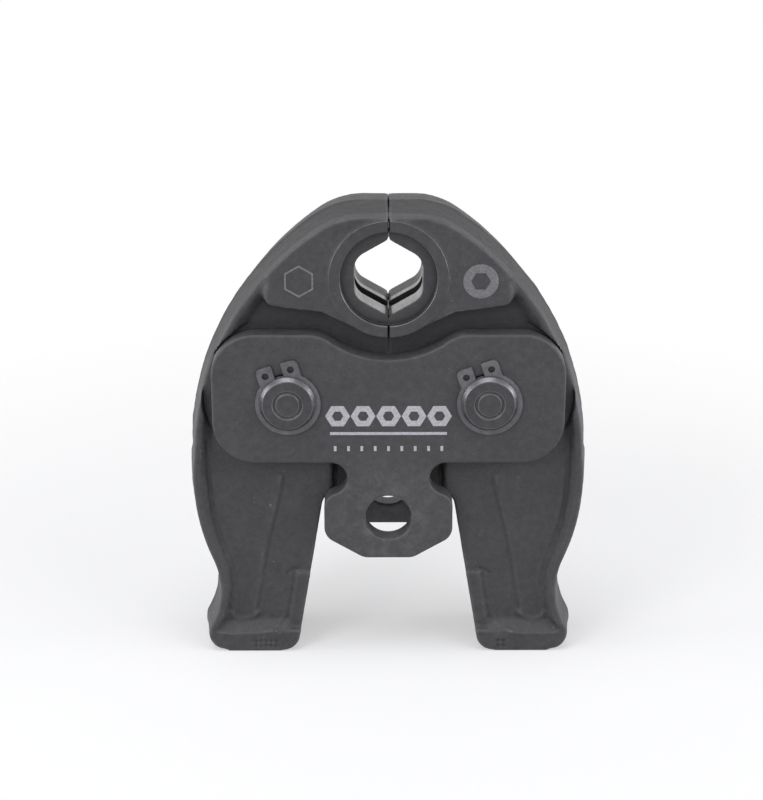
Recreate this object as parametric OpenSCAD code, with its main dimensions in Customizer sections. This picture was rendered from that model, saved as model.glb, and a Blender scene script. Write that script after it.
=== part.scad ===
// Press fitting tool jaw: two forged levers on two pins between two side plates.
// The jaw stands on the feet of its levers, with its tips closed.
// X runs across the jaw, Y from its front to its back, Z up from the feet.

/* [Layout] */
// Height of the pivot pins above the feet
pin_z = 84.8; // [75:0.1:100]
// Distance between the two pivot pins
pin_spacing = 60; // [56:0.5:70]
// Height of the pressing bore above the pivot pins
bore_up = 37.4; // [34:0.1:45]
// Height of the head's top above the pressing bore, in the middle plane
head_up = 20.4; // [19.8:0.1:24]
// Depth of the tool pin hole below the pivot pins
tool_down = 37.5; // [34:0.1:40]
// Gap between the closed levers
part_gap = 0.1; // [0.06:0.02:0.4]

/* [Lever outline] */
// Greatest width of the jaw, across both levers
jaw_w = 121.4; // [117:0.2:128]
// Height of the widest place above the feet
widest_z = 58.4; // [54:0.1:64]
// Radius of the flank above the widest place
flank_r = 121.4; // [105:0.1:160]
// Radius of the flank below the widest place
calf_r = 72.1; // [64:0.1:90]
// Radius of the shoulder
shoulder_r = 89.7; // [80:0.1:100]
// Distance from the middle to the shoulder, where it slopes at 45 degrees
shoulder_x = 33.9; // [32:0.1:38]
// Height of that place of the shoulder above the pivot pins
shoulder_up = 43.1; // [40:0.1:48]
// Radius of the corner between the shoulder and the flat top
crown_r = 25.4; // [20:0.1:32]
// Radius of the hollow above the toe
waist_r = 24.1; // [18:0.1:28]
// Distance of the toe's tip inside the widest place
toe_in = 3.3; // [2:0.1:4.6]
// Height of the tip of the toe
toe_z = 6.2; // [5.8:0.1:6.6]
// Radius of the toe
toe_r = 7.2; // [7:0.1:9]
// Radius of the corner between the toe and the sole
toe_corner_r = 5.4; // [3:0.1:5.6]
// Radius of the corner between the heel and the sole
heel_r = 6; // [3:0.1:8]
// Distance from the middle to the inner edge of the foot
heel_x = 28.5; // [26:0.1:31]
// Lean of the inner edge of the leg, in degrees
leg_lean = 9.4; // [6:0.1:11]
// Distance from the middle to the inner edge of the knee
knee_x = 17.4; // [17:0.1:19]
// Height of the knee's lower edge above the feet
knee_z = 53; // [51:0.1:56]
// Radius of the hollow below the knee
knee_r = 5; // [2:0.1:6]
// Radius of the lever's inner end about its pivot
knuckle_r = 25.5; // [24:0.1:28]
// Forging draft of the outer walls, in degrees
draft = 7; // [0:0.5:8]

/* [Lever sections] */
// Thickness of the head
head_t = 29.3; // [27:0.1:34]
// Thickness of the leg's rim and foot
leg_t = 25.2; // [22.4:0.1:26.4]
// Thickness of the strip along the heel
heel_t = 21.6; // [20.6:0.1:22.2]
// Width of the rim at the floor of the recess
rim_foot_w = 6.4; // [5:0.1:7]
// Width of the rim at its top
rim_top_w = 3.3; // [2.5:0.1:4.5]
// Height of the foot's pad at the floor of the recess
foot_floor_z = 10.4; // [9:0.1:12]
// Height of the foot's pad at its face
foot_face_z = 6.4; // [5:0.1:8]
// Height of the foot's pad in front of the heel strip
heel_foot_z = 7; // [5:0.1:8]
// Height of the step where the heel strip ends
heel_strip_z = 26.5; // [24:0.1:30]
// Width of the heel strip
heel_strip_w = 4.2; // [3:0.1:5]
// Drop of the head pad's lower edge below the bore, beside the boss
pad_drop = 10; // [9:0.1:11]
// Slope of the head pad's lower edge, in degrees
pad_slope = 6.6; // [0:0.1:10]
// Distance from the middle to the head pad's outer corner
pad_x = 37.8; // [36:0.1:40]
// Radius of that corner
pad_corner_r = 3; // [1:0.1:4]
// Radius of the milled seat round each pivot
mill_r = 25.9; // [25.8:0.1:26.2]
// Height of the boss ring above the head pad
boss_h = 0.5; // [0.2:0.1:0.8]
// Width and depth of the chamfer along the levers' parting edges
part_chamfer = 0.5; // [0.2:0.05:0.8]

/* [Pressing bore] */
// Width across the flats of the pressing hexagon
hex_af = 20.2; // [16:0.1:22]
// Radius of the hexagon's corners
hex_corner_r = 5.5; // [0.5:0.1:6]
// Length of the pressing bore
bore_t = 25.2; // [22:0.1:26]
// Radius of the boss round the bore
boss_r = 17.8; // [17:0.1:18.4]
// Radius of the recess in the boss
recess_r = 13.6; // [13:0.1:15]
// Radius of the bead groove in the bore
bead_r = 12.6; // [12:0.1:13.2]
// Width of the bead groove
bead_w = 6; // [4:0.1:9]
// Distance of the bead groove in front of the middle plane
bead_front = 1.6; // [0:0.1:3]

/* [Side plates] */
// Thickness of each side plate
plate_t = 6.5; // [5:0.1:8]
// Gap between the two side plates
plate_gap = 20; // [19:0.1:22]
// Width of the side plates
plate_w = 105.4; // [102:0.2:107]
// Height of the plates' top edge above the pins
plate_up = 21; // [18:0.1:22]
// Drop of the plates' bottom edge below the pins
plate_down = 19.7; // [18:0.1:21]
// Radius of the plates' outer corners
plate_r = 13; // [8:0.5:16]
// Depth of the dip in the top edge
dip_depth = 7.7; // [5:0.1:9]
// Radius of the dip
dip_r = 29.5; // [24:0.5:36]
// Radius of the round-over on each side of the dip
dip_edge_r = 10; // [4:0.5:14]
// Width of the tab that holds the tool's pin
tab_w = 39; // [36:0.2:41]
// Height of the tab's bottom edge above the feet
tab_z = 33.8; // [31:0.1:36]
// Width of the tab's bottom edge
tab_foot_w = 15; // [10:0.2:20]
// Height of the tab's lower corners above its bottom edge
tab_corner_up = 7; // [5:0.1:10]
// Radius of the tab's corners
tab_r = 5; // [3:0.1:6]
// Radius of the notches between the plate and its tab
notch_r = 5; // [4:0.1:5.5]
// Distance from the middle to the centre of each notch
notch_x = 17.5; // [16.5:0.1:18.5]
// Diameter of the tool pin hole
tool_d = 14; // [12:0.1:16]

/* [Pins and rings] */
// Diameter of the pivot pins
pin_d = 17; // [14:0.1:18]
// Length of each pin past the side plates
pin_end = 3; // [2.4:0.1:4]
// Chamfer across the pin's end
pin_chamfer = 1.05; // [0.5:0.05:1.5]
// Chamfer along the pin's end
pin_chamfer_l = 1.5; // [0.5:0.05:1.7]
// Radius of the turned groove in the pin's end
end_groove_r = 4; // [3:0.1:5]
// Width and depth of that groove
end_groove_w = 0.5; // [0.3:0.05:0.6]
// Fit of the pins in the plates and of the rings in their grooves, on the radius
seat_clear = 0.02; // [0.01:0.01:0.05]
// Running clearance of the levers on the pins, on the radius
pin_clear = 0.04; // [0.02:0.01:0.08]
// Diameter of the pin's retaining ring groove
groove_d = 16.2; // [13.2:0.1:16.6]
// Thickness of the retaining rings
ring_t = 1; // [0.8:0.05:1.2]
// Play of each ring between the plate and its groove's far wall
ring_play = 0.05; // [0.02:0.01:0.1]
// Outer radius of each ring
ring_r = 9.75; // [9.4:0.05:10.4]
// Distance by which the ring's bow is set off from the pin, away from its gap
ring_bow = 0.3; // [0.1:0.05:0.8]
// Gap between the ring's lugs
ring_gap = 2.8; // [2.2:0.1:4]
// Width of each lug
lug_w = 5; // [4.4:0.1:5.4]
// Reach of the lugs from the pin
lug_reach = 12.5; // [12:0.1:13.2]
// Radius of the lugs' outer corners
lug_corner_r = 1.6; // [0.8:0.1:2]
// Diameter of the lug holes
lug_hole_d = 2; // [1.4:0.1:2.2]
// Distance from the lug's end to its hole
lug_hole_in = 2.6; // [2:0.1:3]
// Turn of the left rings' gaps towards the left, in degrees
left_ring_turn = 16; // [0:0.5:40]
// Turn of the right rings' gaps towards the left, in degrees
right_ring_turn = 19.5; // [0:0.5:40]

/* [Closing spring] */
// Drop of the spring below the pins
spring_down = 16; // [14.5:0.1:17]
// Outer diameter of the spring
spring_d = 7.6; // [6:0.1:8.4]
// Diameter of the spring wire
wire_d = 1.2; // [0.9:0.1:1.4]
// Turns of the spring
spring_turns = 9; // [7:1:11]
// Clearance of the spring in its pockets, on the radius
spring_clear = 0.3; // [0.2:0.05:0.5]
// Distance from the middle to the floor of each pocket
pocket_x = 18.5; // [17:0.1:19.5]

/* [Hidden] */
$fn = 96;

eps = 0.01;
// Arcs that meet are this much larger than tangent, so that they cross in one clear edge
arc_lap = 1.0005;
flank_step = 0.01;
lean = tan(draft);
pin_x = pin_spacing / 2;
bore_z = pin_z + bore_up;
top_z = bore_z + head_up;
tool_z = pin_z - tool_down;
half_w = jaw_w / 2;
plate_face = plate_gap / 2 + plate_t;
mill_clear = 0.1;
mill_t = plate_gap - 2 * mill_clear;
steel = "dimgray";
bright = "silver";

// Centres of the outline's arcs, each tangent to its neighbour
shoulder_c = [shoulder_x - shoulder_r * cos(45), pin_z + shoulder_up - shoulder_r * sin(45)];
crown_z = top_z - crown_r;
crown_c = [shoulder_c.x + sqrt(pow(shoulder_r - crown_r, 2) - pow(crown_z - shoulder_c.y, 2)), crown_z];
flank_c = [half_w - flank_r - flank_step, widest_z];
calf_c = [half_w - calf_r, widest_z];
toe_c = [half_w - toe_in - toe_r, toe_z];
sole_c = [toe_c.x + sqrt(pow(toe_r - toe_corner_r, 2) - pow(toe_z - toe_corner_r, 2)), toe_corner_r];

function toward(a, b) = (b - a) / norm(b - a);

// Centre of the hollow, at the right distance from the calf's centre and from the toe's
calf_reach = calf_r + waist_r;
leg_way = toward(calf_c, toe_c);
leg_span = norm(toe_c - calf_c);
hollow_down = (pow(calf_reach, 2) - pow(toe_r + waist_r, 2) + pow(leg_span, 2)) / (2 * leg_span);
hollow_out = sqrt(pow(calf_reach, 2) - pow(hollow_down, 2));
waist_c = calf_c + hollow_down * leg_way + hollow_out * [-leg_way.y, leg_way.x];

crown_way = toward(shoulder_c, crown_c);
calf_top = widest_z + 6;
sole_way = toward(toe_c, sole_c);

// Stands a flat profile up: its second axis becomes the height, its centre stays in the middle plane
module upright(t) {
  rotate([90, 0, 0]) linear_extrude(height = t, center = true) children();
}

// Round bar along Y
module bar(x, z, r, t) {
  translate([x, 0, z]) rotate([90, 0, 0]) cylinder(r = r, h = t, center = true);
}

module at_left() {
  mirror([1, 0, 0]) children();
}

module both_sides() {
  children();
  mirror([0, 1, 0]) children();
}

// Flat wedge at a corner, outside the arc that rounds it
module corner_wedge(p, a, b, r) {
  ua = toward(p, a);
  ub = toward(p, b);
  half = acos(ua * ub) / 2;
  reach = r / tan(half);
  inward = toward([0, 0], ua + ub);
  difference() {
    polygon([p - reach / 4 * inward, p + reach * ua, p + reach * ub]);
    translate(p + r / sin(half) * inward) circle(r * arc_lap);
  }
}

// Leaning drum: a disc of the outline whose wall leans in by the forging draft
module drum(c, r, h, rim0, rim1) {
  translate([c.x, c.y, 0]) cylinder(r1 = r - rim0, r2 = r - rim1, h = h);
}

// Block between two heights, from depth 0 to h, whose top leans in like the walls
module head_band(z0, z1, h, rim0, rim1) {
  rotate([90, 0, 90]) linear_extrude(half_w + 1)
    polygon([[z0, 0], [z1 - rim0, 0], [z1 - rim1, h], [z0, h]]);
}

// Flanks, hollow and toe of the lever from depth 0 to h, set in by rim0 at its start and rim1 at its end
module side_form(h, rim0, rim1) {
  intersection() {
    drum(shoulder_c, shoulder_r, h, rim0, rim1);
    drum(flank_c, flank_r, h, rim0, rim1);
    head_band(widest_z, top_z, h, rim0, rim1);
  }
  difference() {
    union() {
      intersection() {
        drum(calf_c, calf_r, h, rim0, rim1);
        linear_extrude(h) polygon([calf_c, waist_c, [waist_c.x, calf_top], [calf_c.x, calf_top]]);
      }
      linear_extrude(h) polygon([toe_c, waist_c, calf_c, [calf_c.x, 0], [toe_c.x, 0]]);
      intersection() {
        drum(toe_c, toe_r, h, rim0, rim1);
        linear_extrude(h) polygon([toe_c, waist_c, [waist_c.x, 0], [toe_c.x, 0]]);
      }
    }
    drum(waist_c, waist_r * arc_lap, h, -rim0, -rim1);
  }
}

// Outer form of the lever, with the rounds of its crown and its sole
module outer_form(h, rim0, rim1) {
  difference() {
    side_form(h, rim0, rim1);
    crown_corner(h, rim0, rim1);
    translate([sole_c.x, 0, 0]) rotate([0, -atan((rim1 - rim0) / h), 0])
      translate([-sole_c.x, 0, -1]) linear_extrude(h + 3) sole_corner();
  }
}

// What the round between the toe and the sole leaves of the square foot
module sole_corner() {
  reach = toe_corner_r + 1;
  difference() {
    polygon([sole_c, sole_c - [0, reach], sole_c - reach / sole_way.y * sole_way]);
    translate(sole_c) circle(toe_corner_r * arc_lap);
  }
}

// What the crown's round leaves of the square head
module crown_corner(h, rim0, rim1) {
  reach = crown_r + 1;
  difference() {
    translate([0, 0, -eps]) linear_extrude(h + 2 * eps)
      polygon([crown_c, crown_c + [0, reach], crown_c + reach / crown_way.y * crown_way]);
    drum(crown_c, crown_r * arc_lap, h, rim0, rim1);
  }
}

// Head pad, boss and the flare that joins them, as a flat profile
module head_zone() {
  bore_c = [0, bore_z];
  near = [boss_r + 2, bore_z - pad_drop];
  along = [cos(pad_slope), sin(pad_slope)];
  corner = near + (pad_x - near.x) / along.x * along;
  side = corner + [-2.4, 7.4];
  reach = norm(near - bore_c);
  turn = atan2(near.y - bore_z, near.x) - acos(boss_r / reach);
  difference() {
    polygon([[0, near.y], near, corner, side, side + [half_w, half_w], [0, side.y + half_w]]);
    corner_wedge(corner, near, side, pad_corner_r);
  }
  translate(bore_c) circle(boss_r);
  polygon([bore_c, bore_c + boss_r / arc_lap * [cos(turn), sin(turn)], near]);
}

// Everything on the inner side of the lever's edge, below its parting face
module inner_cut() {
  parting_end = pin_z + 2.5;
  under_knee = [heel_x - knee_z * tan(leg_lean), knee_z];
  knee_top = pin_z - knuckle_r + 3;
  difference() {
    translate([-1, -1]) square([pin_x + 1, parting_end + 1]);
    translate([pin_x, pin_z]) circle(knuckle_r);
    polygon([[heel_x + tan(leg_lean), -1], under_knee, [knee_x, knee_z], [knee_x, knee_top],
      [pin_x + 2, knee_top], [pin_x + 2, -1]]);
    corner_wedge(under_knee, [heel_x, 0], [knee_x - knee_r, knee_z], knee_r);
  }
  corner_wedge([heel_x, 0], [half_w, 0], under_knee, heel_r);
}

// Profile of the strip along the heel, where the tool's rollers run
module heel_strip() {
  step = tan(leg_lean);
  polygon([[heel_x - 9, 0], [heel_x + heel_strip_w, 0],
    [heel_x + heel_strip_w - step * heel_strip_z, heel_strip_z], [heel_x - 9, heel_strip_z]]);
}

// Room above a height, whose lower wall slopes from the recess's floor out to its face
module above_pad(floor_z, face_z, w, rise, h) {
  slope = (face_z - floor_z) / rise;
  translate([0, 0, w]) rotate([90, 0, 90]) linear_extrude(half_w + 1)
    polygon([[floor_z, 0], [face_z + slope * (h - rise), h], [top_z, h], [top_z, 0]]);
}

// Forged and milled recess in one face of the lever
module face_recess() {
  floor_w = mill_t / 2;
  rise = leg_t / 2 - floor_w;
  h = rise + 1;
  wall = (rim_foot_w - rim_top_w) / rise;
  difference() {
    intersection() {
      translate([0, 0, floor_w]) side_form(h, rim_foot_w, rim_foot_w - wall * h);
      above_pad(foot_floor_z, foot_face_z, floor_w, rise, h);
    }
    translate([0, 0, floor_w - 1]) linear_extrude(h + 2) {
      head_zone();
      heel_strip();
    }
  }
  translate([pin_x, pin_z, floor_w]) cylinder(r = mill_r, h = head_t);
  strip_rise = (leg_t - heel_t) / 2;
  intersection() {
    translate([0, 0, heel_t / 2]) linear_extrude(strip_rise + 1) heel_strip();
    above_pad(heel_foot_z + 1, heel_foot_z, heel_t / 2, strip_rise, strip_rise + 1);
  }
}

// Front half of the right lever, lying on its middle plane
module lever_half() {
  pad_t = head_t / 2 - boss_h;
  difference() {
    union() {
      outer_form(leg_t / 2, 0, lean * leg_t / 2);
      intersection() {
        outer_form(pad_t, 0, lean * pad_t);
        linear_extrude(pad_t) head_zone();
      }
      intersection() {
        outer_form(head_t / 2, 0, lean * head_t / 2);
        translate([0, bore_z, 0]) cylinder(r = boss_r, h = head_t / 2);
      }
    }
    face_recess();
    translate([0, bore_z, bore_t / 2]) cylinder(r = recess_r, h = head_t);
    translate([0, 0, -1]) linear_extrude(head_t) inner_cut();
  }
}

// Hexagon with a corner at its top and bottom, round at the corners that lie inside a lever
module press_hexagon() {
  r = hex_af / sqrt(3);
  side_corners = [for (a = [-30, 30]) r * [cos(a), sin(a)]];
  tops = [[0, r], [0, -r]];
  difference() {
    polygon([for (a = [-90 : 60 : 210]) r * [cos(a), sin(a)]]);
    for (k = [0, 1]) {
      corner_wedge(side_corners[k], side_corners[1 - k], tops[1 - k], hex_corner_r);
    }
  }
}

// Chamfers along the parting edges of the closed levers, in front, behind and on top
module parting_chamfer() {
  edge = part_gap / 2 + part_chamfer;
  for (side = [-1, 1]) {
    translate([0, side * head_t / 2, pin_z]) linear_extrude(top_z) rotate(45)
      square(edge * sqrt(2), center = true);
  }
  translate([0, 0, top_z]) upright(head_t + 2) rotate(45) square(edge * sqrt(2), center = true);
}

module lever() {
  difference() {
    both_sides() rotate([90, 0, 0]) lever_half();
    bar(pin_x, pin_z, pin_d / 2 + pin_clear, head_t + 1);
    translate([0, 0, bore_z]) upright(head_t + 1) press_hexagon();
    translate([0, -bead_front, 0]) bar(0, bore_z, bead_r, bead_w);
    translate([0, 0, pin_z - spring_down]) rotate([0, 90, 0])
      cylinder(r = spring_d / 2 + spring_clear, h = pocket_x);
    parting_chamfer();
    translate([part_gap / 2 - jaw_w, -head_t, -1]) cube([jaw_w, 2 * head_t, top_z + 2]);
  }
}

module right_jaw_lever() {
  color(steel) lever();
}

module left_jaw_lever() {
  color(steel) at_left() lever();
}

// Outline of a side plate
module plate_profile() {
  w = plate_w / 2;
  low = pin_z - plate_down;
  high = pin_z + plate_up;
  notch_z = low - notch_r;
  dip_z = high - dip_depth + dip_r;
  edge_z = high - dip_edge_r;
  edge_x = sqrt(pow(dip_r + dip_edge_r, 2) - pow(dip_z - edge_z, 2));
  tab = tab_w / 2;
  shoulder_z = notch_z - sqrt(pow(notch_r + tab_r, 2) - pow(notch_x - tab + tab_r, 2));
  foot = [tab_foot_w / 2, tab_z];
  corner = [tab, tab_z + tab_corner_up];
  difference() {
    union() {
      translate([-w, low]) square([plate_w, high - low]);
      for (side = [-1, 1]) scale([side, 1]) {
        difference() {
          polygon([[0, low + 1], [0, tab_z], foot, corner, [tab, shoulder_z], [tab - tab_r, shoulder_z],
            [notch_x, notch_z], [notch_x, low + 1]]);
          corner_wedge(corner, foot, [tab, shoulder_z], tab_r);
          corner_wedge(foot, corner, [0, tab_z], tab_r);
        }
        translate([tab - tab_r, shoulder_z]) circle(tab_r);
      }
    }
    for (side = [-1, 1]) scale([side, 1]) {
      corner_wedge([w, low], [w, high], [0, low], plate_r);
      corner_wedge([w, high], [w, low], [0, high], plate_r);
      translate([notch_x, notch_z]) circle(notch_r * arc_lap);
      difference() {
        polygon([[edge_x, edge_z], [edge_x, dip_z], [0, dip_z]]);
        translate([edge_x, edge_z]) circle(dip_edge_r * arc_lap);
      }
      translate([pin_x, pin_z]) circle(pin_d / 2 + seat_clear);
    }
    translate([0, dip_z]) circle(dip_r * arc_lap);
    translate([0, tool_z]) circle(tool_d / 2);
  }
}

module side_plate() {
  translate([0, -plate_gap / 2 - plate_t / 2, 0]) upright(plate_t) plate_profile();
}

module front_side_plate() {
  color(steel) side_plate();
}

module rear_side_plate() {
  color(steel) mirror([0, 1, 0]) side_plate();
}

// Half of a pivot pin, standing on its middle, turned as one profile
module pin_half() {
  end = plate_face + pin_end;
  groove_end = plate_face + ring_t + 2 * ring_play;
  r = pin_d / 2;
  rotate_extrude()
    polygon([[0, 0], [r, 0], [r, plate_face], [groove_d / 2, plate_face], [groove_d / 2, groove_end],
      [r, groove_end], [r, end - pin_chamfer_l], [r - pin_chamfer, end],
      [end_groove_r + end_groove_w, end], [end_groove_r, end - end_groove_w],
      [end_groove_r - end_groove_w, end], [0, end]]);
}

module pivot_pin() {
  translate([pin_x, 0, pin_z]) both_sides() rotate([90, 0, 0]) pin_half();
}

module left_pivot_pin() {
  color(bright) at_left() pivot_pin();
}

module right_pivot_pin() {
  color(bright) pivot_pin();
}

// Open ring with two drilled lugs, its gap at the top
module ring_profile() {
  hub = groove_d / 2 + seat_clear;
  difference() {
    union() {
      translate([0, -ring_bow]) circle(ring_r);
      for (side = [-1, 1]) scale([side, 1]) lug_profile(hub);
    }
    circle(hub);
    translate([-ring_gap / 2, 0]) square([ring_gap, lug_reach + 1]);
    for (side = [-1, 1]) {
      translate([side * (ring_gap + lug_w) / 2, lug_reach - lug_hole_in]) circle(lug_hole_d / 2);
    }
  }
}

module lug_profile(hub) {
  outer = ring_gap / 2 + lug_w;
  difference() {
    square([outer, lug_reach]);
    corner_wedge([outer, lug_reach], [0, lug_reach], [outer, 0], lug_corner_r);
    corner_wedge([outer, 0], [outer, lug_reach], [0, 0], hub / 2);
  }
}

module retaining_ring(turn) {
  translate([0, -plate_face - ring_play - ring_t / 2, pin_z]) upright(ring_t)
    rotate(turn) ring_profile();
}

module front_left_retaining_ring() {
  color(bright) translate([-pin_x, 0, 0]) retaining_ring(left_ring_turn);
}

module front_right_retaining_ring() {
  color(bright) translate([pin_x, 0, 0]) retaining_ring(right_ring_turn);
}

module rear_left_retaining_ring() {
  color(bright) mirror([0, 1, 0]) translate([-pin_x, 0, 0]) retaining_ring(left_ring_turn);
}

module rear_right_retaining_ring() {
  color(bright) mirror([0, 1, 0]) translate([pin_x, 0, 0]) retaining_ring(right_ring_turn);
}

// Coil of the spring: closed end turns, even turns between them
module closing_spring() {
  sides = 8;
  per_turn = 20;
  rings = spring_turns * per_turn;
  coil_r = (spring_d - wire_d) / 2;
  seat = 0.05;
  half_l = pocket_x - seat - wire_d / 2;
  end_pitch = wire_d + seat;
  pitch = (2 * half_l - 2 * end_pitch) / (spring_turns - 2);
  function along(t) =
    t < 1 ? end_pitch * t
    : t > spring_turns - 1 ? 2 * half_l - end_pitch * (spring_turns - t)
    : end_pitch + pitch * (t - 1);
  function wire_point(t, a) =
    let (r = coil_r + wire_d / 2 * cos(a))
    [along(t) - half_l + wire_d / 2 * sin(a), r * cos(360 * t), r * sin(360 * t)];
  points = [for (i = [0 : rings]) for (j = [0 : sides - 1]) wire_point(i / per_turn, 360 * j / sides)];
  walls = [for (i = [0 : rings - 1]) for (j = [0 : sides - 1])
    let (next = (j + 1) % sides)
    [i * sides + j, i * sides + next, (i + 1) * sides + next, (i + 1) * sides + j]];
  start = [[for (j = [sides - 1 : -1 : 0]) j]];
  end = [[for (j = [0 : sides - 1]) rings * sides + j]];
  color(bright) translate([0, 0, pin_z - spring_down])
    polyhedron(points, concat(walls, start, end));
}

left_jaw_lever();
right_jaw_lever();
front_side_plate();
rear_side_plate();
left_pivot_pin();
right_pivot_pin();
front_left_retaining_ring();
front_right_retaining_ring();
rear_left_retaining_ring();
rear_right_retaining_ring();
closing_spring();
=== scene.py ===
import bpy
import bmesh
import math
import numpy as np
from mathutils import Matrix, Vector, noise


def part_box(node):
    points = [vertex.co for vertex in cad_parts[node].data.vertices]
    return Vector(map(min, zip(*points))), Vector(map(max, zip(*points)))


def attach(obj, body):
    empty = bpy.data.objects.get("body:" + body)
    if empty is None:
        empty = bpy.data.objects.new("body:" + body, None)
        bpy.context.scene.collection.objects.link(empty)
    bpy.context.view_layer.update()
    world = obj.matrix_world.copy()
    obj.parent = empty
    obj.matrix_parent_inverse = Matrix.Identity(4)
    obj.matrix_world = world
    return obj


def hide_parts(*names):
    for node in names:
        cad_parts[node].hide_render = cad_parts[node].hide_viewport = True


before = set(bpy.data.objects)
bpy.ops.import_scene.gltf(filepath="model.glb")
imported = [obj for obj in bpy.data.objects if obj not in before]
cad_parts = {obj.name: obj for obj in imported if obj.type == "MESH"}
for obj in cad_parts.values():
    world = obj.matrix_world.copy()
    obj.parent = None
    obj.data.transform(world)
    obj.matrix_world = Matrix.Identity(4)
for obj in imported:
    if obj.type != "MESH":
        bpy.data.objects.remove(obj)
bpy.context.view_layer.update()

MM = 0.001
scene = bpy.context.scene

# Sizes of the part, in mm: pivots and their seats
PIN_X = 30.0
PIN_Z = 84.8
PIN_HOLE_R = 8.62
SEAT_R = 25.7
SEAT_Y = 9.92

# Pressing bore
BORE_Z = 122.2
HOLE_R = 16.8
INSERT_R = 17.8
RECESS_R = 14.3
RECESS_Y = 12.6
LAND_END_Y = 4.6
GROOVE_Y = (-4.65, 1.45)

# Parting faces, inside and where they come to the surface
PART_X = 0.02
PART_OPEN_X = 0.32

# Outer faces, and the height of the tool hole
TOP_Z = 142.6
FACE_Y = 14.65
PAD_Y = 14.15
PLATE_Y = 16.5
TOOL_Z = 47.3

WELD_GAP = 0.002


# Node trees

def new_material(name):
    mat = bpy.data.materials.new(name)
    mat.use_nodes = True
    tree = mat.node_tree
    return mat, tree, tree.nodes["Principled BSDF"]


def add(tree, kind, inputs=None, **props):
    """New node with its properties set, and its inputs linked or set to constants."""
    node = tree.nodes.new(kind)
    for key, value in props.items():
        setattr(node, key, value)
    for key, value in (inputs or {}).items():
        if isinstance(value, bpy.types.NodeSocket):
            tree.links.new(value, node.inputs[key])
        else:
            node.inputs[key].default_value = value
    return node


def ramp(tree, fac, stops):
    node = add(tree, "ShaderNodeValToRGB", {"Fac": fac})
    points = node.color_ramp.elements
    while len(points) < len(stops):
        points.new(0.5)
    for point, (pos, col) in zip(points, stops):
        point.position = pos
        point.color = (*col, 1) if isinstance(col, tuple) else (col, col, col, 1)
    return node.outputs["Color"]


def math_node(tree, op, a, b=0.0):
    return add(tree, "ShaderNodeMath", {0: a, 1: b}, operation=op).outputs[0]


def product(tree, a, b):
    return math_node(tree, "MULTIPLY", a, b)


def mix_color(tree, fac, a, b, blend="MIX"):
    return add(tree, "ShaderNodeMix", {0: fac, 6: a, 7: b},
               data_type="RGBA", blend_type=blend).outputs[2]


def shade(tree, tone, factor):
    return mix_color(tree, 1.0, tone, factor, "MULTIPLY")


def map_range(tree, value, low, high, to_low=0.0, to_high=1.0, **props):
    return add(tree, "ShaderNodeMapRange", {"Value": value, "From Min": low, "From Max": high,
                                            "To Min": to_low, "To Max": to_high},
               **props).outputs[0]


def object_coord(tree):
    return add(tree, "ShaderNodeTexCoord").outputs["Object"]


def noise_tex(tree, coord, scale, detail, rough):
    return add(tree, "ShaderNodeTexNoise", {"Vector": coord, "Scale": scale, "Detail": detail,
                                            "Roughness": rough}).outputs["Fac"]


def bump(tree, height, strength, distance, **under):
    return add(tree, "ShaderNodeBump", {"Height": height, "Strength": strength,
                                        "Distance": distance, **under}).outputs["Normal"]


def grey(v):
    """Neutral steel grey with the cool cast of the phosphate skin."""
    return (v * 0.975, v * 0.96, v * 1.05)


def speck_mask(tree, coord, patch):
    """Fine specks of dust, in patches."""
    dust = noise_tex(tree, coord, 1500, 2, 0.5)
    return product(tree, ramp(tree, dust, [(0.68, 0.0), (0.74, 1.0)]),
                   ramp(tree, patch, [(0.50, 0.0), (0.66, 1.0)]))


def blackened_steel(name, base, rough, grain, pits, specks, edge_wear_and_crease_shade=0.0, metal=0.0):
    """Phosphated steel: mottled, pitted and dusty, with painted shade in hollows and creases, worn
    where edges stand out.
    """
    mat, tree, bsdf = new_material(name)
    coord = object_coord(tree)
    cloud = noise_tex(tree, coord, 90, 4, 0.62)
    blotch = noise_tex(tree, coord, 420, 4, 0.65)
    fine = noise_tex(tree, coord, 1300, 4, 0.65)
    patch = noise_tex(tree, coord, 130, 3, 0.6)
    # Painted shade: ambient occlusion of the piece's own shape darkens the colour in its hollows
    painted_shade_ao = add(tree, "ShaderNodeAmbientOcclusion", {"Distance": 4 * MM},
                   samples=6, only_local=True).outputs["AO"]
    tone = ramp(tree, cloud, [(0.32, grey(base * 0.88)), (0.70, grey(base * 1.12))])
    tone = shade(tree, tone, ramp(tree, blotch, [(0.3, 0.80), (0.7, 1.22)]))
    tone = shade(tree, tone, ramp(tree, painted_shade_ao, [(0.45, 0.30), (0.95, 1.0)]))
    tone = shade(tree, tone, ramp(tree, fine, [(0.3, 0.90), (0.7, 1.10)]))
    speck = product(tree, speck_mask(tree, coord, patch), specks)
    tone = mix_color(tree, speck, tone, (*grey(base * 6), 1))
    if edge_wear_and_crease_shade:
        # Painted shade: concave creases are darkened by their curvature; the lighter convex edges
        # are wear
        bend = add(tree, "ShaderNodeNewGeometry").outputs["Pointiness"]
        crease_shade = ramp(tree, bend, [(0.445, 1.0), (0.494, 0.0)])
        tone = mix_color(tree, product(tree, crease_shade, 0.7), tone, (*grey(base * 0.25), 1))
        worn = ramp(tree, bend, [(0.510, 0.0), (0.565, 1.0)])
        rub = ramp(tree, patch, [(0.35, 0.35), (0.65, 1.0)])
        worn = product(tree, product(tree, worn, rub), edge_wear_and_crease_shade)
        tone = mix_color(tree, worn, tone, (*grey(base * 2.8), 1))
    tree.links.new(tone, bsdf.inputs["Base Color"])
    tree.links.new(ramp(tree, blotch, [(0.3, rough - 0.07), (0.7, rough + 0.07)]),
                   bsdf.inputs["Roughness"])
    bsdf.inputs["Metallic"].default_value = metal
    bsdf.inputs["Specular IOR Level"].default_value = 0.4
    normal = bump(tree, fine, grain, 0.10 * MM)
    normal = bump(tree, blotch, pits, 0.30 * MM, Normal=normal)
    tree.links.new(normal, bsdf.inputs["Normal"])
    return mat, tree, bsdf, tone


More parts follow.
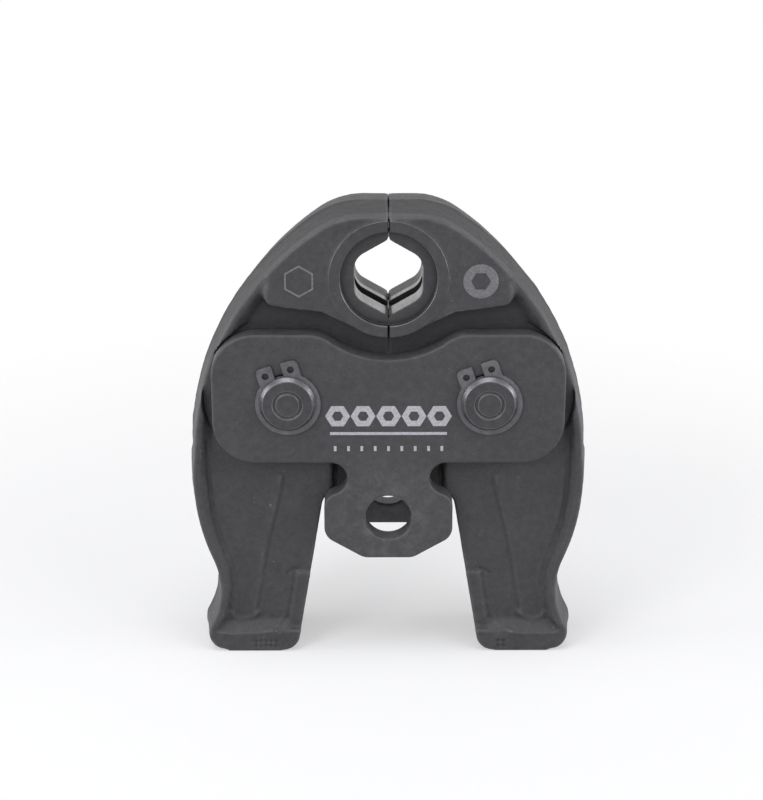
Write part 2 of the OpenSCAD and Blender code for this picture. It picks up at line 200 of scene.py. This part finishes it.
def forged_steel(name):
    """Forging with painted shadow in the hollow under the pad."""
    mat, tree, bsdf, tone = blackened_steel(name, base=0.056, rough=0.56, grain=0.7, pits=0.9,
                                            specks=0.7, edge_wear_and_crease_shade=0.9)
    coord = object_coord(tree)
    parts = add(tree, "ShaderNodeSeparateXYZ", {"Vector": coord}).outputs
    depth = math_node(tree, "ABSOLUTE", parts["Y"])
    hollow = map_range(tree, depth, 11.4 * MM, 10.2 * MM)
    high = map_range(tree, parts["Z"], 92 * MM, 100 * MM)
    # Painted shadow: the milled face under the pad is darkened where the pad shades it
    pad_shadow = product(tree, product(tree, hollow, high), 0.55)
    tone = mix_color(tree, pad_shadow, tone, (*grey(0.012), 1))
    tree.links.new(tone, bsdf.inputs["Base Color"])
    return mat


def plate_steel(name):
    """Plate with dust and scuffs round its tool hole."""
    mat, tree, bsdf, tone = blackened_steel(name, base=0.057, rough=0.48, grain=0.30, pits=0.15,
                                            specks=0.4)
    coord = object_coord(tree)
    gap = add(tree, "ShaderNodeVectorMath", {0: coord, 1: (0, 0, TOOL_Z * MM)},
              operation="DISTANCE").outputs["Value"]
    near = map_range(tree, gap, 30 * MM, 18 * MM)
    rub = ramp(tree, noise_tex(tree, coord, 240, 5, 0.72), [(0.46, 0.12), (0.66, 0.62)])
    tone = mix_color(tree, product(tree, near, rub), tone, (*grey(0.14), 1))
    tree.links.new(tone, bsdf.inputs["Base Color"])
    return mat


def pin_steel(name):
    """Turned pin: dark oiled face, bright chamfer and rim."""
    mat, tree, bsdf, tone = blackened_steel(name, base=0.05, rough=0.36, grain=0.10, pits=0.05,
                                            specks=0.1)
    coord = object_coord(tree)
    parts = add(tree, "ShaderNodeSeparateXYZ", {"Vector": coord}).outputs
    dx = math_node(tree, "SUBTRACT", math_node(tree, "ABSOLUTE", parts["X"]), PIN_X * MM)
    dz = math_node(tree, "SUBTRACT", parts["Z"], PIN_Z * MM)
    square = math_node(tree, "ADD", product(tree, dx, dx), product(tree, dz, dz))
    rim = map_range(tree, math_node(tree, "SQRT", square), 7.3 * MM, 7.6 * MM)
    tree.links.new(mix_color(tree, rim, tone, (*grey(0.17), 1)), bsdf.inputs["Base Color"])
    tree.links.new(rim, bsdf.inputs["Metallic"])
    return mat


def polished_steel(name):
    """Ground steel of the pressing profile: bright, with fine scratches along the bore."""
    mat, tree, bsdf = new_material(name)
    coord = object_coord(tree)
    stretched = add(tree, "ShaderNodeMapping", {"Vector": coord, "Scale": (1, 0.08, 1)})
    scratch = noise_tex(tree, stretched.outputs["Vector"], 2600, 3, 0.6)
    cloud = noise_tex(tree, coord, 160, 3, 0.6)
    tone = ramp(tree, cloud, [(0.3, 0.20), (0.7, 0.32)])
    tree.links.new(tone, bsdf.inputs["Base Color"])
    rough = ramp(tree, scratch, [(0.3, 0.24), (0.7, 0.40)])
    tree.links.new(rough, bsdf.inputs["Roughness"])
    bsdf.inputs["Metallic"].default_value = 1.0
    tree.links.new(bump(tree, scratch, 0.15, 0.03 * MM), bsdf.inputs["Normal"])
    return mat


def etched_mark(name, low, high):
    """Pale laser-etched mark, slightly uneven."""
    mat, tree, bsdf = new_material(name)
    coord = object_coord(tree)
    grain = noise_tex(tree, coord, 1400, 3, 0.6)
    tone = ramp(tree, grain, [(0.3, grey(low)), (0.7, grey(high))])
    tree.links.new(tone, bsdf.inputs["Base Color"])
    tree.links.new(ramp(tree, grain, [(0.3, 0.5), (0.7, 0.7)]), bsdf.inputs["Roughness"])
    tree.links.new(bump(tree, grain, 0.2, 0.03 * MM), bsdf.inputs["Normal"])
    return mat


forged = forged_steel("forged_steel")
plated = plate_steel("plate_steel")
turned = blackened_steel("turned_steel", base=0.052, rough=0.44, grain=0.15, pits=0.08,
                         specks=0.2)[0]
ring_look = blackened_steel("ring_steel", base=0.13, rough=0.34, grain=0.12, pits=0.06,
                            specks=0.1, metal=0.3)[0]
worn = blackened_steel("worn_edge_steel", base=0.12, rough=0.36, grain=0.15, pits=0.08,
                       specks=0.2, metal=0.35)[0]
pin_look = pin_steel("pin_steel")
polished = polished_steel("polished_steel")
etched = etched_mark("etched_mark", 0.42, 0.62)
faint_etched = etched_mark("faint_etched_mark", 0.12, 0.24)


def dress(obj, *looks):
    """Gives a piece its materials, which puts every face back on the first one."""
    obj.data.materials.clear()
    for look in looks:
        obj.data.materials.append(look)


# Meshes

DRUM_LENGTH = 40


def link_mesh(name, mesh):
    obj = bpy.data.objects.new(name, mesh)
    scene.collection.objects.link(obj)
    return obj


def from_bmesh(name, bm):
    mesh = bpy.data.meshes.new(name)
    bm.to_mesh(mesh)
    bm.free()
    return link_mesh(name, mesh)


def settle(obj):
    """Turns what the modifiers make into the mesh itself."""
    bpy.context.view_layer.update()
    graph = bpy.context.evaluated_depsgraph_get()
    mesh = bpy.data.meshes.new_from_object(obj.evaluated_get(graph))
    obj.modifiers.clear()
    obj.data = mesh


def cad_copy(node, name):
    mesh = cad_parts[node].data.copy()
    bm = bmesh.new()
    bm.from_mesh(mesh)
    bmesh.ops.remove_doubles(bm, verts=bm.verts, dist=WELD_GAP * MM)
    bm.to_mesh(mesh)
    bm.free()
    return link_mesh(name, mesh)


def open_bore(obj):
    """Cuts the round room for the pressing profile."""
    bm = bmesh.new()
    place = Matrix.Translation((0, 0, BORE_Z * MM)) @ Matrix.Rotation(math.pi / 2, 4, "X")
    bmesh.ops.create_cone(bm, cap_ends=True, segments=192, radius1=HOLE_R * MM,
                          radius2=HOLE_R * MM, depth=DRUM_LENGTH * MM, matrix=place)
    drum = from_bmesh("bore_drum", bm)
    mod = obj.modifiers.new("cut", "BOOLEAN")
    mod.object = drum
    mod.operation = "DIFFERENCE"
    mod.solver = "EXACT"
    settle(obj)
    bpy.data.objects.remove(drum)


def smooth_shade(obj, angle):
    """Smooth up to the angle, with flat front and back faces. At angle 0 all is smooth."""
    mesh = obj.data
    flat = [angle > 0 and abs(face.normal.y) > 0.9995 for face in mesh.polygons]
    mesh.polygons.foreach_set("use_smooth", np.logical_not(flat))
    if angle:
        mesh.set_sharp_from_angle(angle=math.radians(angle))
    mesh.update()


def read_points(mesh):
    co = np.empty(len(mesh.vertices) * 3, dtype=np.float32)
    mesh.vertices.foreach_get("co", co)
    return co.reshape(-1, 3).astype(float) / MM


def write_points(mesh, p):
    mesh.vertices.foreach_set("co", (p * MM).astype(np.float32).ravel())
    mesh.update()


def read_normals(mesh):
    co = np.empty(len(mesh.vertices) * 3, dtype=np.float32)
    mesh.vertex_normals.foreach_get("vector", co)
    return co.reshape(-1, 3).astype(float)


def fade(x, low, high):
    t = np.clip((x - low) / (high - low), 0, 1)
    return t * t * (3 - 2 * t)


def relax(mesh, p, weight, rounds):
    """Evens out the skin: rounds the edges and fills the corners where weight is 1."""
    ends = np.empty(len(mesh.edges) * 2, dtype=np.int32)
    mesh.edges.foreach_get("vertices", ends)
    a, b = ends.reshape(-1, 2).T
    n = len(p)
    count = np.maximum(np.bincount(a, minlength=n) + np.bincount(b, minlength=n), 1)
    for _ in range(rounds):
        total = np.stack([np.bincount(a, p[b, k], n) + np.bincount(b, p[a, k], n)
                          for k in range(3)], 1)
        p = p + 0.5 * weight[:, None] * (total / count[:, None] - p)
    return p


def line_gap(x, z, line):
    """Distance of each point from a line of (x, z) points."""
    gap = np.full(len(x), 1e9)
    for (x0, z0), (x1, z1) in zip(line, line[1:]):
        wx, wz = x1 - x0, z1 - z0
        t = np.clip(((x - x0) * wx + (z - z0) * wz) / (wx * wx + wz * wz), 0, 1)
        gap = np.minimum(gap, np.hypot(x - x0 - t * wx, z - z0 - t * wz))
    return gap


# Levers: a forged body with rounded edges, and the crisp pressing profile set into it

VOXEL = 0.5
# Points this close to a pin's axis or to the parting plane lie on those faces
PIN_ZONE_R = 9.3
PART_ZONE_X = 0.35
# The lip stands out by this share of what the long smoothing took away, up to a limit
LIP_SHARE = 0.5
LIP_LIMIT = 0.7
# Outer end of the pad, and how far its extra rounding spreads
PAD_END = (38.5, 116)
PAD_END_SPREAD = (6, 8)
WAVE_HEIGHT = 0.06
FLASH_HEIGHT = 0.20
FLASH_WAVE = 0.12
FLASH_HALF_Y = 0.9
# The V between the levers grows between these depths
V_START = 1.8
V_END = 0.3

# Lines of the forging on its two faces: points (x, z), height, half width
STROKES = (
    ([(34.4, 64), (33.3, 60), (33.1, 57.9), (33.8, 53.8), (35.8, 45.4), (37.9, 37), (39.5, 28.5),
      (40.8, 20), (42.2, 12.5)], 0.42, 1.5),
    ([(33.0, 64), (31.9, 60), (31.7, 57.9), (32.4, 53.8), (34.4, 45.4), (36.5, 37), (38.1, 28.5),
      (39.4, 20), (40.8, 13.5)], -0.30, 0.5),
    ([(30.3, 26), (30.2, 23.4), (31.3, 16.5), (32.4, 11.3), (34.7, 8.2), (38.5, 6.9)], 0.22, 0.55),
    ([(49, 12.5), (48.2, 10.9), (45.6, 10.2), (42.3, 10.9), (41, 12.5)], 0.55, 0.9),
    ([(28, 27.4), (30.2, 26.9), (31.6, 25.8)], -0.35, 0.35),
    ([(54.8, 70.2), (54.9, 59.6), (54.4, 51.3), (53.3, 42.9), (50.8, 34.5), (48.5, 27.7),
      (47.9, 22.6), (48.6, 16.5), (49.4, 12)], -0.45, 0.5),
    ([(53.4, 66), (53.5, 59.6), (53.0, 51.3), (51.9, 43.2), (49.4, 35), (47.1, 28.1),
      (46.5, 22.6), (47.2, 16.5), (48, 12)], 0.20, 0.55),
    ([(53.2, 6.6), (48.9, 6.0), (41, 6.2), (36, 7)], 0.18, 0.5),
)


def dot_grid(x0, z0, step, columns, rows):
    return [([(x0 + step * i, z0 + step * k), (x0 + step * i + 0.01, z0 + step * k)], -0.55, 0.5)
            for i in range(columns) for k in range(rows)]


# Punch marks on the feet
PUNCHED = {-1: dot_grid(35.2, 2.0, 1.55, 5, 2), 1: dot_grid(34.4, 2.0, 1.6, 2, 2)}


def forging(node, side, body, seed):
    obj = cad_copy(node, node + "_forging")
    open_bore(obj)
    skin = obj.modifiers.new("skin", "REMESH")
    skin.mode = "VOXEL"
    skin.voxel_size = VOXEL * MM
    skin.adaptivity = 0
    settle(obj)
    mesh = obj.data
    p = read_points(mesh)
    low, high = (np.array(corner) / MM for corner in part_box(node))
    x, z = side * p[:, 0], p[:, 2]
    pin_r = np.hypot(x - PIN_X, z - PIN_Z)
    bore_r = np.hypot(x, z - BORE_Z)
    raw = fade(x, 0.3, 1.6) * fade(bore_r, INSERT_R + 0.1, INSERT_R + 1.2)
    in_hole = pin_r < PIN_ZONE_R
    on_parting = x < PART_ZONE_X
    weight = np.where(in_hole, 0, 0.15 + 0.85 * raw)
    skin_mask = raw * fade(pin_r, SEAT_R, SEAT_R + 0.7) * fade(z, 0.3, 1.5)

    # Round edges, then a lip along each edge and a groove along each corner
    p = relax(mesh, p, weight, 5)
    away = p - relax(mesh, p, weight, 30)
    reach = np.linalg.norm(away, axis=1)
    lip = LIP_SHARE * skin_mask * np.minimum(1, LIP_LIMIT / np.maximum(reach, 1e-6))
    p = p + lip[:, None] * away
    p = relax(mesh, p, weight, 2)
    pad_end = np.exp(-((x - PAD_END[0]) / PAD_END_SPREAD[0]) ** 2
                     - ((z - PAD_END[1]) / PAD_END_SPREAD[1]) ** 2)
    p = relax(mesh, p, pad_end * raw, 28)
    write_points(mesh, p)
    normals = read_normals(mesh)

    # Forging marks: slow waves in the skin, a flash line along the middle, the lines of the dies
    x, y, z = side * p[:, 0], np.abs(p[:, 1]), p[:, 2]
    shift = Vector((seed, 0, 0))
    wave = np.array([noise.noise(q / 7 + shift) + 0.5 * noise.noise(q / 2.6 + shift)
                     for q in map(Vector, p)])
    lift = WAVE_HEIGHT * wave * skin_mask
    side_on = (1 - fade(np.abs(normals[:, 1]), 0.2, 0.5)) * fade(x, 8, 12) * skin_mask
    lift += (FLASH_HEIGHT + FLASH_WAVE * wave) * np.exp(-(y / FLASH_HALF_Y) ** 2) * side_on
    face_on = fade(np.abs(normals[:, 1]), 0.6, 0.85) * skin_mask
    for line, height, width in (*STROKES, *PUNCHED[side]):
        lift += height * (1 + 0.3 * wave) * np.exp(-(line_gap(x, z, line) / width) ** 2) * face_on
    p = p + lift[:, None] * normals

    # The machined faces stay true
    turn = side * p[:, 0] - PIN_X, p[:, 2] - PIN_Z
    radius = np.maximum(np.hypot(*turn), 1e-6)
    # What turns under the side plates: the seat, the leg beside the tab, the inner top corner
    beside_tab = (x < 26) & (z > 30) & (z < 60)
    top_corner = (x < 8) & (z > 84) & (z < 96)
    under_plate = (radius < SEAT_R) | beside_tab | top_corner
    p[:, 1] = np.where(under_plate, np.clip(p[:, 1], -SEAT_Y, SEAT_Y), p[:, 1])
    grow = np.where(in_hole, PIN_HOLE_R / radius, 1)
    p[:, 0] = side * (PIN_X + turn[0] * grow)
    p[:, 2] = PIN_Z + turn[1] * grow
    # The parting faces meet inside and open in a V where they come to the surface
    opening = np.maximum(fade(y, FACE_Y - V_START, FACE_Y - V_END),
                         fade(z, TOP_Z - V_START, TOP_Z - V_END))
    part_x = PART_X + (PART_OPEN_X - PART_X) * opening
    p = np.clip(p, low, high)
    p[:, 0] = np.where(on_parting, side * part_x, p[:, 0])
    write_points(mesh, p)
    smooth_shade(obj, 0)
    dress(obj, forged)
    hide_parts(node)
    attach(obj, body)


def add_edges(obj, width, look_slot):
    """Rounds the edges of a CAD piece, whose flat faces are first made whole."""
    flat = obj.modifiers.new("flat", "DECIMATE")
    flat.decimate_type = "DISSOLVE"
    flat.angle_limit = math.radians(0.5)
    flat.delimit = {"MATERIAL"}
    edge = obj.modifiers.new("edge", "BEVEL")
    edge.width = width * MM
    edge.segments = 4
    edge.limit_method = "ANGLE"
    edge.angle_limit = math.radians(30)
    edge.use_clamp_overlap = True
    edge.material = look_slot


# Pressing profile: one half of the bored ring, swept from the lower parting edge to the upper one

HEX_HALF = 10.1
HEX_CORNER_R = 5.5
APEX_R = 1.5
GROOVE_R = 12.6
EDGE = 0.22
# The sweep turns between these angles in degrees, and two more steps at each end lead to the
# parting face
SWEEP_END = 84
SWEEP_STEPS = 112
PART_EDGE_X = 0.4
# Where a profile point lies on the hexagon, its radius here is added to the hexagon's
ON_HEX = "hexagon"
DARK, BRIGHT, WORN = 0, 1, 2


def half_profile():
    """Closed section of the ring: base, radius, y, and the look of the strip that starts there."""
    g0, g1 = GROOVE_Y[0] + 0.05, GROOVE_Y[1] - 0.05
    front = [
        (0, INSERT_R, -FACE_Y + 0.6, DARK), (0, INSERT_R, -FACE_Y + EDGE, WORN),
        (0, INSERT_R - EDGE, -FACE_Y, DARK), (0, RECESS_R + EDGE, -FACE_Y, WORN),
        (0, RECESS_R, -FACE_Y + EDGE, DARK), (0, RECESS_R, -RECESS_Y - 0.1, DARK),
        (0, RECESS_R - 0.1, -RECESS_Y, DARK), (ON_HEX, EDGE, -RECESS_Y, WORN),
        (ON_HEX, 0, -RECESS_Y + EDGE, BRIGHT), (ON_HEX, 0, g0 - 0.1, WORN),
        (ON_HEX, 0.1, g0, DARK), (0, GROOVE_R, g0, DARK),
        (0, GROOVE_R, g1, DARK), (ON_HEX, 0.1, g1, WORN),
        (ON_HEX, 0, g1 + 0.1, BRIGHT), (ON_HEX, 0, LAND_END_Y, DARK),
    ]
    back = [
        (ON_HEX, 0, RECESS_Y - EDGE, WORN), (ON_HEX, EDGE, RECESS_Y, DARK),
        (0, RECESS_R - 0.1, RECESS_Y, DARK), (0, RECESS_R, RECESS_Y + 0.1, DARK),
        (0, RECESS_R, FACE_Y - EDGE, WORN), (0, RECESS_R + EDGE, FACE_Y, DARK),
        (0, INSERT_R - EDGE, FACE_Y, WORN), (0, INSERT_R, FACE_Y - EDGE, DARK),
        (0, INSERT_R, FACE_Y - 0.6, DARK),
    ]
    return front + back


def hexagon_reach(angle):
    """Distance from the bore's axis to the hexagon, whose side corners are round."""
    a = abs(angle)
    centre = (HEX_HALF - HEX_CORNER_R) / math.cos(math.radians(30))
    arc_end = math.degrees(math.atan2(centre / 2, HEX_HALF))
    if arc_end < a < 60 - arc_end:
        off = math.radians(a - 30)
        return centre * math.cos(off) + math.sqrt(HEX_CORNER_R ** 2 - (centre * math.sin(off)) ** 2)
    return HEX_HALF / math.cos(math.radians(a if a < 30 else a - 60))


def apex_z(x):
    """Height of the hexagon's rounded apex close to the parting line."""
    top = HEX_HALF / math.cos(math.radians(30)) + APEX_R * math.tan(math.radians(30))
    return top - math.sqrt(APEX_R ** 2 - (APEX_R - min(x, APEX_R)) ** 2)


def sweep_point(step, base, radius):
    """Place (x, z) of a profile point at a step of the sweep. Step 0 is the lower end."""
    last = SWEEP_STEPS + 4
    end = min(step, last - step)
    if end < 2:
        x = (PART_X, PART_EDGE_X)[end]
        z = apex_z(x - PART_X) + radius if base == ON_HEX else math.sqrt(radius ** 2 - x ** 2)
        return x, z if step > end else -z
    angle = -SWEEP_END + 2 * SWEEP_END * (step - 2) / SWEEP_STEPS
    r = radius + (hexagon_reach(angle) if base == ON_HEX else 0)
    return r * math.cos(math.radians(angle)), r * math.sin(math.radians(angle))


def pressing_insert(node, side, body):
    bm = bmesh.new()
    profile = half_profile()
    rings = []
    for step in range(SWEEP_STEPS + 5):
        at_end = step in (0, SWEEP_STEPS + 4)
        ring = []
        for base, radius, y, _ in profile:
            x, z = sweep_point(step, base, radius)
            if at_end and abs(y) > FACE_Y - EDGE - 0.01:
                x = PART_OPEN_X
                y = math.copysign(abs(y) - 0.25, y)
            ring.append(bm.verts.new((side * x * MM, y * MM, (BORE_Z + z) * MM)))
        rings.append(ring)
    n = len(profile)
    for ring, after in zip(rings, rings[1:]):
        for k in range(n):
            bm.faces.new((ring[k], ring[(k + 1) % n], after[(k + 1) % n], after[k]))
    bm.faces.new(rings[0])
    bm.faces.new(rings[-1][::-1])
    bmesh.ops.recalc_face_normals(bm, faces=bm.faces)
    obj = from_bmesh(node + "_pressing_profile", bm)
    dress(obj, turned, polished, worn)
    strip_looks = [look for *_, look in profile]
    looks = np.concatenate((np.tile(strip_looks, len(rings) - 1), [DARK, DARK]))
    obj.data.polygons.foreach_set("material_index", looks.astype(np.int32))
    smooth_shade(obj, 40)
    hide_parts(node)
    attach(obj, body)


for node, side, body, seed in (("left_jaw_lever", -1, "left_lever", 11.3),
                               ("right_jaw_lever", 1, "right_lever", 3.7)):
    forging(node, side, body, seed)
    pressing_insert(node, side, body)


# Plates, pins and rings keep their solids, with rounded edges: look, edge width, edge's look.
# The spring keeps its edges.

DRESSES = {
    "side_plate": (plated, 0.9, 0),
    "pivot_pin": (pin_look, 0.18, 1),
    "retaining_ring": (ring_look, 0.16, 1),
    "closing_spring": (ring_look, None, 1),
}

for node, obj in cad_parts.items():
    if "lever" in node:
        continue
    look, edge_width, edge_look = next(row for kind, row in DRESSES.items() if node.endswith(kind))
    dress(obj, look, worn)
    if edge_width is None:
        continue
    weld = obj.modifiers.new("weld", "WELD")
    weld.merge_threshold = WELD_GAP * MM
    add_edges(obj, edge_width, edge_look)
    normal = obj.modifiers.new("normal", "WEIGHTED_NORMAL")
    normal.keep_sharp = True


# Etched marks: plain generic shapes where the real part carries its markings

MARK_DEPTH = 0.12
MARK_Z = 121.6
ROW_STEP = 7.6
TICK_STEP = 4


def add_prism(bm, outline, y):
    """Thin prism on a face that looks towards -Y, from an outline of (x, z) points."""
    back = [bm.verts.new((x * MM, (y + MARK_DEPTH / 2) * MM, z * MM)) for x, z in outline]
    front = [bm.verts.new((x * MM, (y - MARK_DEPTH / 2) * MM, z * MM)) for x, z in outline]
    n = len(outline)
    bm.faces.new(front)
    bm.faces.new(back[::-1])
    for i in range(n):
        j = (i + 1) % n
        bm.faces.new((front[j], front[i], back[i], back[j]))


def add_ring(bm, inner, outer, y):
    """The same with a hole, from two outlines with as many points."""
    n = len(inner)
    d = MARK_DEPTH / 2
    rings = [[bm.verts.new((x * MM, line_y * MM, z * MM)) for x, z in line]
             for line, line_y in ((inner, y - d), (outer, y - d), (outer, y + d), (inner, y + d))]
    for ring, after in zip(rings, rings[1:] + rings[:1]):
        for i in range(n):
            j = (i + 1) % n
            bm.faces.new((ring[i], ring[j], after[j], after[i]))


def polygon_points(cx, cz, r, n, turn=0.0):
    angles = [turn + 2 * math.pi * i / n for i in range(n)]
    return [(cx + r * math.cos(a), cz + r * math.sin(a)) for a in angles]


def hexagon_points(cx, cz, r, n):
    """Points at even angles on the outline of a hexagon."""
    line = []
    for i in range(n):
        a = 2 * math.pi * i / n
        off = a % (math.pi / 3) - math.pi / 6
        reach = r * math.cos(math.pi / 6) / math.cos(off)
        line.append((cx + reach * math.cos(a), cz + reach * math.sin(a)))
    return line


def bar_points(x0, z0, x1, z1):
    return [(x0, z0), (x1, z0), (x1, z1), (x0, z1)]


def finish_mark(name, bm, body, look):
    bmesh.ops.recalc_face_normals(bm, faces=bm.faces)
    obj = from_bmesh(name, bm)
    dress(obj, look)
    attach(obj, body)


bm = bmesh.new()
add_ring(bm, polygon_points(-26.3, MARK_Z, 4.3, 6, math.pi / 6),
         polygon_points(-26.3, MARK_Z, 4.9, 6, math.pi / 6), -PAD_Y)
finish_mark("left_hexagon_mark", bm, "left_lever", faint_etched)

bm = bmesh.new()
add_ring(bm, hexagon_points(27, MARK_Z, 2.9, 36), polygon_points(27, MARK_Z, 5.2, 36), -PAD_Y)
finish_mark("right_disc_mark", bm, "right_lever", faint_etched)

# A bar with a row of hexagons over it and a row of ticks under it
bm = bmesh.new()
add_prism(bm, bar_points(-17.5, 74.4, 17.5, 75.3), -PLATE_Y)
for k in range(5):
    cx = ROW_STEP * (k - 2)
    add_ring(bm, polygon_points(cx, 80.4, 1.7, 6), polygon_points(cx, 80.4, 3.7, 6), -PLATE_Y)
for k in range(9):
    cx = TICK_STEP * (k - 4)
    add_prism(bm, bar_points(cx - 0.4, 69.2, cx + 0.4, 70.8), -PLATE_Y)
finish_mark("plate_tick_mark", bm, "side_plates", etched)


# Floor, backdrop and light

FLOOR_HALF = 3.0


def seen_directly(tree):
    """1 for rays from the camera and for those mirrored or let through, 0 for diffuse ones."""
    path = add(tree, "ShaderNodeLightPath").outputs
    return math_node(tree, "MAXIMUM", path["Is Camera Ray"],
                     math_node(tree, "MAXIMUM", path["Is Glossy Ray"], path["Is Transmission Ray"]))


def floor_material():
    """White floor that keeps the object's shadow and fades to plain white away from it."""
    mat = bpy.data.materials.new("floor_white")
    mat.use_nodes = True
    tree = mat.node_tree
    tree.nodes.clear()
    out = add(tree, "ShaderNodeOutputMaterial")
    place = object_coord(tree)
    gap = add(tree, "ShaderNodeVectorMath", {0: place}, operation="LENGTH").outputs["Value"]
    far = map_range(tree, gap, 0.12, 0.34, 0.42, interpolation_type="SMOOTHSTEP")
    lit = add(tree, "ShaderNodeBsdfDiffuse", {"Color": (0.93, 0.935, 0.96, 1)}).outputs[0]
    white = add(tree, "ShaderNodeEmission", {"Color": (1, 1, 1, 1), "Strength": 1.0}).outputs[0]
    shown = add(tree, "ShaderNodeMixShader", {0: far, 1: lit, 2: white}).outputs[0]
    bounce = add(tree, "ShaderNodeBsdfDiffuse", {"Color": (0.5, 0.5, 0.5, 1)}).outputs[0]
    surface = add(tree, "ShaderNodeMixShader", {0: seen_directly(tree), 1: bounce, 2: shown})
    tree.links.new(surface.outputs[0], out.inputs["Surface"])
    return mat


def make_floor():
    mesh = bpy.data.meshes.new("floor")
    r = FLOOR_HALF
    mesh.from_pydata([(-r, -r, 0), (r, -r, 0), (r, r, 0), (-r, r, 0)], [], [(0, 1, 2, 3)])
    floor = link_mesh("floor", mesh)
    dress(floor, floor_material())


make_floor()

world = bpy.data.worlds.new("studio")
scene.world = world
world.use_nodes = True
tree = world.node_tree
background = tree.nodes["Background"]
background.inputs["Color"].default_value = (1, 1, 1, 1)
strength = map_range(tree, seen_directly(tree), 0.0, 1.0, 0.30, 1.0)
tree.links.new(strength, background.inputs["Strength"])


def area_light(name, place, target, size, power):
    data = bpy.data.lights.new(name, "AREA")
    data.shape = "DISK"
    data.size = size
    data.energy = power
    obj = bpy.data.objects.new(name, data)
    scene.collection.objects.link(obj)
    obj.location = place
    way = Vector(target) - Vector(place)
    obj.rotation_euler = way.to_track_quat("-Z", "Y").to_euler()


area_light("top_light", (-0.1, -0.2, 1.1), (0, 0, 0.05), 0.8, 3.9)
area_light("front_left", (-0.7, -0.8, 0.7), (0, 0, 0.07), 0.6, 4.4)
area_light("front_right", (0.9, -0.7, 0.7), (0, 0, 0.07), 0.8, 3.8)
area_light("side_left", (-1.0, -0.1, 0.3), (0, 0, 0.07), 0.6, 4.5)
area_light("side_right", (1.0, -0.1, 0.3), (0, 0, 0.07), 0.6, 4.5)


# Camera, fitted to the photograph

ELEVATION = math.radians(20.435)
YAW = math.radians(0.234)
REACH = 620.0 * MM
SIDE = -2.036 * MM
LIFT = 7.858 * MM
LENS = 90.75
SENSOR = 36
AIM = Vector((0, 0, 71.0 * MM))

right = Vector((math.cos(YAW), -math.sin(YAW), 0))
ahead = Vector((math.sin(YAW), math.cos(YAW), 0))
look = math.cos(ELEVATION) * ahead - math.sin(ELEVATION) * Vector((0, 0, 1))
up = math.sin(ELEVATION) * ahead + math.cos(ELEVATION) * Vector((0, 0, 1))

camera_data = bpy.data.cameras.new("camera")
camera_data.lens = LENS
camera_data.sensor_width = SENSOR
camera_data.sensor_fit = "AUTO"
camera = bpy.data.objects.new("camera", camera_data)
scene.collection.objects.link(camera)
place = AIM + SIDE * right + LIFT * up - REACH * look
camera.matrix_world = Matrix((
    (right.x, up.x, -look.x, place.x),
    (right.y, up.y, -look.y, place.y),
    (right.z, up.z, -look.z, place.z),
    (0, 0, 0, 1)))
scene.camera = camera

scene.view_settings.view_transform = "Standard"
